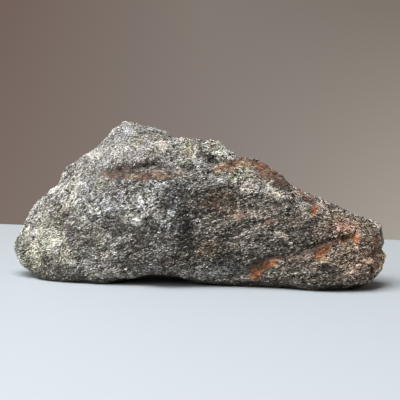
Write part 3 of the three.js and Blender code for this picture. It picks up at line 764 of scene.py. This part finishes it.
def blade_coat_tree():
    """Scatters blades over a surface, laid along its run and tilted by chance."""
    inputs = {
        "Geometry": "Geometry",
        "Blade": "Object",
        "Blades per square metre": "Float",
        "Smallest blade": "Vector",
        "Largest blade": "Vector",
        "Tilt": "Vector",
        "Seed": "Int",
        "Finish": "Material",
    }
    tree, t, given, out = new_group("blade coat", "GeometryNodeTree", inputs, {"Geometry": "Geometry"})

    def named(name, kind="FLOAT"):
        return t.add("GeometryNodeInputNamedAttribute", {"Name": name}, data_type=kind).outputs[0]

    def chance(low, high, salt):
        limits = {"Min": low, "Max": high, "Seed": t.maths("ADD", given["Seed"], salt)}
        return t.add("FunctionNodeRandomValue", limits, data_type="FLOAT_VECTOR").outputs["Value"]

    density = t.maths("MULTIPLY", given["Blades per square metre"], named("coat"))
    scattered = t.add(
        "GeometryNodeDistributePointsOnFaces",
        {"Mesh": given["Geometry"], "Density": density, "Seed": given["Seed"]},
    )
    laid = t.add(
        "FunctionNodeAxesToRotation",
        {0: named("lie", "FLOAT_VECTOR"), 1: named("run", "FLOAT_VECTOR")},
        primary_axis="Z",
        secondary_axis="X",
    )
    turn = t.separated(chance((-1, -1, -1), (1, 1, 1), salt=1))
    tilt = t.separated(given["Tilt"])
    tilted = t.combined(
        t.maths("MULTIPLY", turn[0], tilt[0]),
        t.maths("MULTIPLY", turn[1], tilt[1]),
        t.maths("MULTIPLY", turn[2], named("stray")),
    )
    tilting = t.add("FunctionNodeEulerToRotation", {0: tilted})
    turned = t.add("FunctionNodeRotateRotation", {0: laid, 1: tilting}, rotation_space="LOCAL")
    sizes = chance(given["Smallest blade"], given["Largest blade"], salt=2)
    blade = t.add("GeometryNodeObjectInfo", {"Object": given["Blade"], "As Instance": True})
    placed = t.add(
        "GeometryNodeInstanceOnPoints",
        {
            "Points": scattered.outputs["Points"],
            "Instance": blade.outputs["Geometry"],
            "Rotation": turned,
            "Scale": t.vectors("MULTIPLY", sizes, named("stoutness", "FLOAT_VECTOR")),
        },
    )
    toned = t.add(
        "GeometryNodeStoreNamedAttribute",
        {"Geometry": placed, "Name": "blade", "Value": chance((0, 0, 0), (1, 1, 1), salt=3)},
        data_type="FLOAT_VECTOR",
        domain="INSTANCE",
    )
    realized = t.add("GeometryNodeRealizeInstances", {"Geometry": toned})
    finish = {"Geometry": realized, "Material": given["Finish"]}
    t.feed(out["Geometry"], t.add("GeometryNodeSetMaterial", finish))
    return tree


def lay_out_blades(mesh):
    """Gives each blade a square of its own on a flat map, drawn as seen from above it."""
    corners = np.array([(0, 0), (1, 0), (1, 1), (0, 1), (0.16, 0.5), (0.84, 0.5)])
    one_blade = corners[np.concatenate(BLADE_FACES)]
    count = len(mesh.loops) // len(one_blade)
    across = math.ceil(math.sqrt(count))
    square = np.stack(np.divmod(np.arange(count), across), 1)[:, None]
    margin = 0.08
    places = (square + margin + (1 - 2 * margin) * one_blade) / across
    layer = mesh.uv_layers.new(name="OFBake")
    layer.uv.foreach_set("vector", places.astype(np.float32).ravel())


def coat_with_blades(surface, region, tree, template, finish, seed):
    """Blades over the part of the surface where region is true, as one plain mesh."""
    mesh = surface.data.copy()
    coat = np.empty(len(mesh.vertices), np.float32)
    mesh.attributes["coat"].data.foreach_get("value", coat)
    mesh.attributes["coat"].data.foreach_set("value", coat * region.astype(np.float32))
    piece = new_object(f"blades_{seed + 1}", mesh)
    growing = piece.modifiers.new("blades", "NODES")
    growing.node_group = tree
    values = {
        "Blade": template,
        "Blades per square metre": BLADE_DENSITY,
        "Smallest blade": BLADE_SIZES[0],
        "Largest blade": BLADE_SIZES[1],
        "Tilt": BLADE_TILT,
        "Seed": seed,
        "Finish": finish,
    }
    for socket in tree.interface.items_tree:
        if socket.in_out == "INPUT" and socket.name in values:
            growing[socket.identifier] = values[socket.name]
    grown = bpy.context.evaluated_depsgraph_get()
    blades = bpy.data.meshes.new_from_object(piece.evaluated_get(grown))
    lay_out_blades(blades)
    piece.modifiers.clear()
    piece.data = blades
    bpy.data.meshes.remove(mesh)
    return piece


# ---- Materials ------------------------------------


def wandering(t, place, scale, reach):
    """A place moved a little by noise, so that what is drawn there bends."""
    return t.vectors("ADD", place, t.vectors("SCALE", t.noise(place, scale)["Color"], reach))


def grain_group():
    """Grains drawn out along a line that rises to the right: a chance colour and a height."""
    inputs = {"Place": "Vector", "Rise": "Float", "Length": "Float", "Width": "Float"}
    outputs = {"Chances": "Color", "Height": "Float"}
    tree, t, given, out = new_group("drawn out grain", "ShaderNodeTree", inputs, outputs)
    turned = t.turned(wandering(t, given["Place"], *GRAIN_BENDS), given["Rise"])
    size = t.combined(given["Length"], given["Width"], given["Width"])
    cells = t.add("ShaderNodeTexVoronoi", {"Vector": t.vectors("DIVIDE", turned, size), "Scale": 1})
    t.feed(out["Chances"], cells.outputs["Color"])
    t.feed(out["Height"], t.maths("SUBTRACT", 1, cells.outputs["Distance"]))
    return tree


def mineral_group():
    """Turns two chance numbers into the colour of one mineral grain."""
    inputs = {"Chance": "Float", "Hue": "Float", "Streaky": "Float"}
    inputs |= {"Lightness": "Float", "Tint": "Color"}
    tree, t, given, out = new_group("mineral colour", "ShaderNodeTree", inputs, {"Colour": "Color"})
    bias = t.maths("POWER", 2, t.maths("MULTIPLY", given["Lightness"], -1))
    chance = t.maths("POWER", given["Chance"], bias)
    speckled, streaky = (
        t.ramp(chance, [(share, (grey, grey, grey)) for share, grey in minerals])
        for minerals in (SPECKLED_MINERALS, STREAKY_MINERALS)
    )
    grey = t.blend(given["Streaky"], speckled, streaky)
    hue = t.blend(t.maths("ADD", t.maths("MULTIPLY", grey, 3), given["Hue"]), *MINERAL_HUES)
    lightness = t.maths("POWER", 2, t.maths("MULTIPLY", given["Lightness"], 0.4))
    hued = t.vectors("MULTIPLY", t.vectors("SCALE", grey, lightness), hue)
    tint = t.blend(t.maths("MULTIPLY", grey, 0.4), given["Tint"], (1, 1, 1))
    t.feed(out["Colour"], t.vectors("MULTIPLY", hued, tint))
    return tree


def stain_group():
    """Lays ochre, maroon and rust iron stain over a mineral's colour."""
    inputs = {"Colour": "Color", "Chance": "Float"} | {name: "Float" for name in STAIN_SHADES}
    tree, t, given, out = new_group("iron stain", "ShaderNodeTree", inputs, {"Colour": "Color"})
    grey = t.add("ShaderNodeRGBToBW", {0: given["Colour"]})
    depth = t.maths("MULTIPLY_ADD", t.maths("POWER", grey, 0.6), 1.35, 0.3)
    colour = given["Colour"]
    for name, shades in STAIN_SHADES.items():
        shade = t.vectors("SCALE", t.blend(given["Chance"], *shades), depth)
        colour = t.blend(given[name], colour, shade)
    t.feed(out["Colour"], colour)
    return tree


def shade_and_glint_line_group():
    """Painted shadow lines in thin cracks and painted glints on thin bright edges, along the grain, as
    a change of lightness.
    """
    place = {"Place": "Vector"}
    tree, t, given, out = new_group("shade_and_glint_lines", "ShaderNodeTree", place, {"Tone": "Float"})
    bent = wandering(t, given["Place"], *HAIRLINE_BENDS)
    total = 0
    for rise, length, width, along, tone_and_shading in SHADE_AND_GLINT_LINES:
        drawn = t.vectors("DIVIDE", t.turned(bent, math.radians(rise)), (length, width, width))
        moved = t.vectors("ADD", drawn, (along, 0, 0))
        away = t.maths("ABSOLUTE", t.maths("SUBTRACT", t.noise(moved, 1)["Fac"], 0.5))
        line = t.between(away, 0.3 * HAIRLINE_WIDTH, HAIRLINE_WIDTH, low=tone_and_shading, high=0)
        here = t.between(t.noise(moved, 0.6)["Fac"], 0.45, 0.55)
        total = t.maths("MULTIPLY_ADD", line, here, total)
    t.feed(out["Tone"], total)
    return tree


def painted_mineral(t, groups, chances):
    """The colour of a grain where it lies: mineral, lightness, tint and stain."""
    place = t.add("ShaderNodeTexCoord").outputs["Object"]
    # painted shadow lines and glints, added to the lightness
    lines = t.group(groups["shade_and_glint_lines"], {"Place": place})[0]
    mineral = {
        "Chance": chances[0],
        "Hue": t.maths("MULTIPLY_ADD", chances[1], 0.4, -0.2),
        "Streaky": t.attribute("side"),
        "Lightness": t.maths("MULTIPLY_ADD", lines, t.attribute("shade_and_glint_lines"), t.attribute("tone_and_shading")),
        "Tint": t.attribute("tint", "Color"),
    }
    patchy = t.maths("MULTIPLY_ADD", t.attribute("patchy"), 0.8, -0.28)
    stain = {
        "Colour": t.group(groups["mineral"], mineral)[0],
        "Chance": t.maths("MULTIPLY_ADD", chances[1], 0.66, patchy),
    }
    bare = t.maths("MULTIPLY", chances[2], -0.6)
    for name in STAIN_SHADES:
        amount = t.maths("MULTIPLY_ADD", t.attribute(name), 1.6, bare)
        stain[name] = t.add("ShaderNodeClamp", {0: amount})
    return t.group(groups["stain"], stain)[0]


def new_material(name, constants):
    """A material, its tree and its shader's sockets, with the constants set on those sockets."""
    material = bpy.data.materials.new(name)
    material.use_nodes = True
    t = Tree(material.node_tree)
    shader = material.node_tree.nodes["Principled BSDF"]
    for socket, value in constants.items():
        t.feed(shader.inputs[socket], value)
    return material, t, shader.inputs


def rock_finish(groups):
    """The rock between the blades: fine grains, drawn out to the right and mixed to the left."""
    constants = {"IOR": MINERAL_IOR, "Specular Tint": GLINT_HUE}
    material, t, shader = new_material("bladed rock", constants)
    place = t.add("ShaderNodeTexCoord").outputs["Object"]
    side = t.maths("ADD", t.attribute("side"), t.noise(place, BORDER_BENDS, detail=2)["Fac"])
    chances, height = None, None
    for rise, length, width, starts in GRAINS:
        grain = {"Place": place, "Rise": math.radians(rise), "Length": length, "Width": width}
        fresh = t.group(groups["grain"], grain)
        if chances is None:
            chances, height = fresh
            continue
        here = t.maths("GREATER_THAN", side, starts)
        chances = t.blend(here, chances, fresh[0])
        height = t.add("ShaderNodeMix", {0: here, 2: height, 3: fresh[1]}).outputs[0]
    chance = t.add("ShaderNodeSeparateColor", {0: chances}).outputs
    lit = t.maths("MULTIPLY", chance[0], t.maths("MULTIPLY_ADD", height, 0.9, 0.3))
    t.feed(shader["Base Color"], painted_mineral(t, groups, (lit, chance[1], chance[2])))
    t.feed(shader["Roughness"], t.maths("MULTIPLY_ADD", chance[2], *ROCK_ROUGHNESS))
    bump = t.add("ShaderNodeBump", {"Strength": 0.8, "Distance": GRAIN_RELIEF, "Height": height})
    lean = t.vectors("SUBTRACT", chances, (0.5, 0.5, 0.5))
    t.feed(shader["Normal"], t.vectors("NORMALIZE", t.vectors("ADD", bump, lean)))
    return material


def blade_finish(groups):
    """The blades: each one its own grey, a few of them bright."""
    constants = {"IOR": MINERAL_IOR, "Specular Tint": GLINT_HUE, "Specular IOR Level": BLADE_GLOSS}
    material, t, shader = new_material("amphibole blades", constants)
    chances = t.separated(t.attribute("blade", "Vector"))
    t.feed(shader["Base Color"], painted_mineral(t, groups, chances))
    t.feed(shader["Roughness"], t.maths("MULTIPLY_ADD", chances[2], *BLADE_ROUGHNESS))
    return material


# ---- Camera, light and stage ----------------------


def point_at(thing, place, target, roll_deg=0):
    thing.location = place
    aim = (Vector(target) - Vector(place)).to_track_quat("-Z", "Y").to_matrix()
    turned = aim @ Matrix.Rotation(math.radians(roll_deg), 3, "Z")
    thing.rotation_euler = turned.to_euler()


def add_camera():
    """The camera stands a little above the table, tipped slightly to one side."""
    camera = bpy.data.cameras.new("camera")
    camera.sensor_width = 36
    camera.lens = camera.sensor_width / (2 * math.tan(math.radians(VIEW_ANGLE / 2)))
    seat = new_object("camera", camera)
    lift = math.radians(CAMERA_LIFT)
    away = Vector((0, -math.cos(lift), math.sin(lift))) * CAMERA_DISTANCE
    point_at(seat, Vector(CAMERA_TARGET) + away, CAMERA_TARGET, CAMERA_ROLL)
    bpy.context.scene.camera = seat


def add_lights():
    for name, (place, size, watts, colour) in LIGHTS.items():
        light = bpy.data.lights.new(name, "AREA")
        light.size = size
        light.energy = watts
        light.color = colour
        point_at(new_object(name, light), place, LIGHT_TARGET)


def add_surroundings():
    """A warm grey wall to look at, darker to the left, and an even dim light from all round."""
    world = bpy.data.worlds.new("studio wall")
    bpy.context.scene.world = world
    world.use_nodes = True
    t = Tree(world.node_tree)
    x, _, z = t.separated(t.add("ShaderNodeTexCoord").outputs["Generated"])
    across = t.between(x, *WALL_ACROSS)
    rows = [t.ramp(across, list(zip((0, 0.5, 1), colours))) for colours in WALL_COLOURS]
    wall = t.blend(t.between(z, *WALL_UP), *rows)
    seen = t.blend(t.add("ShaderNodeLightPath").outputs["Is Camera Ray"], ROOM_COLOUR, wall)
    t.feed(world.node_tree.nodes["Background"].inputs["Color"], seen)


def add_table():
    """A smooth pale table top whose far edge is close behind the stone."""
    far_left, far_right = TABLE_FAR_EDGE
    near = [(-TABLE_REACH, -TABLE_REACH, 0), (TABLE_REACH, -TABLE_REACH, 0)]
    far = [(TABLE_REACH, far_right, 0), (-TABLE_REACH, far_left, 0)]
    mesh = bpy.data.meshes.new("table")
    mesh.from_pydata(near + far, [], [(0, 1, 2, 3)])
    constants = {"Base Color": TABLE_COLOUR, "Roughness": TABLE_ROUGHNESS}
    mesh.materials.append(new_material("pale table", constants)[0])
    table = new_object("table", mesh)


# ---- The whole scene ------------------------------


def add_stone():
    """The stone's surface and its coat of blades."""
    groups = {"grain": grain_group(), "mineral": mineral_group(), "stain": stain_group()}
    groups["shade_and_glint_lines"] = shade_and_glint_line_group()
    surface = closed_copy(STONE_NODE)
    surface.data.materials.clear()
    surface.data.materials.append(rock_finish(groups))
    points = work_surface(surface.data)
    tree, finish, template = blade_coat_tree(), blade_finish(groups), blade_template()
    pieces = [surface]
    edges = np.quantile(points[:, 0], np.linspace(0, 1, COAT_PIECES + 1))
    for number, (start, end) in enumerate(zip(edges, edges[1:])):
        region = (points[:, 0] >= start) & (points[:, 0] < end)
        pieces.append(coat_with_blades(surface, region, tree, template, finish, seed=number))
    bpy.data.objects.remove(template)
    for piece in pieces:
        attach(piece, "root")
    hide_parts(STONE_NODE)


bpy.context.scene.view_settings.view_transform = "Standard"
add_camera()
add_lights()
add_surroundings()
add_table()
add_stone()
